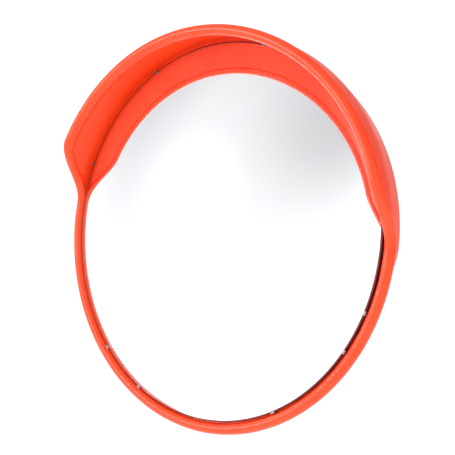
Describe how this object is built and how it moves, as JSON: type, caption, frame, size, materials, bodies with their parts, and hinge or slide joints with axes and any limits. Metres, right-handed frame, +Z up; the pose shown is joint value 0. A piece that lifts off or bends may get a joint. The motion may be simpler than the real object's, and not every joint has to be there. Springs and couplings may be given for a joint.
{
  "type": "traffic convex mirror",
  "caption": "Round domed traffic mirror in an orange hooded frame, on a pan and tilt bracket with a clamp for a round pole.",
  "frame": {"origin": "on the pole's axis, at mid height of the clamp", "axes": "+Z up along the pole; the mirror faces -Y; +X is to the right of someone looking into the mirror"},
  "size_m": [0.4514, 0.296, 0.4491],
  "materials": {
    "orange_moulding": "smooth moulded plastic, satin gloss",
    "silvered_mirror": "silvered acrylic dome, polished",
    "black_rubber": "matt extruded rubber",
    "galvanised_steel": "hot-dip galvanised, spangled satin",
    "zinc_fasteners": "bright zinc plated",
    "stainless_screws": "stainless steel, bright"
  },
  "bodies": {
    "pole_clamp": {"clamp_saddle": "galvanised_steel", "clamp_strap": "galvanised_steel", "pole_liner_front": "black_rubber", "pole_liner_rear": "black_rubber", "pan_bolt": "zinc_fasteners", "pan_washer_1": "zinc_fasteners", "pan_washer_2": "zinc_fasteners", "pan_nut": "zinc_fasteners", "clamp_bolt_1": "zinc_fasteners", "clamp_bolt_2": "zinc_fasteners", "clamp_washer_1": "zinc_fasteners", "clamp_washer_2": "zinc_fasteners", "clamp_nut_1": "zinc_fasteners", "clamp_nut_2": "zinc_fasteners"},
    "knuckle": {"knuckle": "galvanised_steel"},
    "mirror_head": {"hooded_frame": "orange_moulding", "mirror_dome": "silvered_mirror", "sealing_ring": "black_rubber", "back_cover": "orange_moulding", "backing_plate": "galvanised_steel", "mirror_bracket": "galvanised_steel", "retaining_clip_1": "stainless_screws", "retaining_clip_2": "stainless_screws", "retaining_clip_3": "stainless_screws", "retaining_clip_4": "stainless_screws", "retaining_clip_5": "stainless_screws", "retaining_clip_6": "stainless_screws", "retaining_clip_7": "stainless_screws", "retaining_clip_8": "stainless_screws", "cover_screw_1": "stainless_screws", "cover_screw_2": "stainless_screws", "cover_screw_3": "stainless_screws", "cover_screw_4": "stainless_screws", "cover_screw_5": "stainless_screws", "cover_screw_6": "stainless_screws", "plate_bolt_1": "zinc_fasteners", "plate_bolt_2": "zinc_fasteners", "plate_bolt_3": "zinc_fasteners", "plate_bolt_4": "zinc_fasteners", "plate_washer_1": "zinc_fasteners", "plate_washer_2": "zinc_fasteners", "plate_washer_3": "zinc_fasteners", "plate_washer_4": "zinc_fasteners", "plate_nut_1": "zinc_fasteners", "plate_nut_2": "zinc_fasteners", "plate_nut_3": "zinc_fasteners", "plate_nut_4": "zinc_fasteners", "tilt_bolt": "zinc_fasteners", "tilt_washer_1": "zinc_fasteners", "tilt_washer_2": "zinc_fasteners", "tilt_nut": "zinc_fasteners"}
  },
  "joints": [
    {"name": "pan", "type": "hinge", "parent": "pole_clamp", "child": "knuckle", "pos_m": [0, -0.054, 0], "axis": [0, 0, 1], "range_deg": [-50, 50]},
    {"name": "tilt", "type": "hinge", "parent": "knuckle", "child": "mirror_head", "pos_m": [0, -0.09, 0], "axis": [1, 0, 0], "range_deg": [-25, 25]}
  ]
}
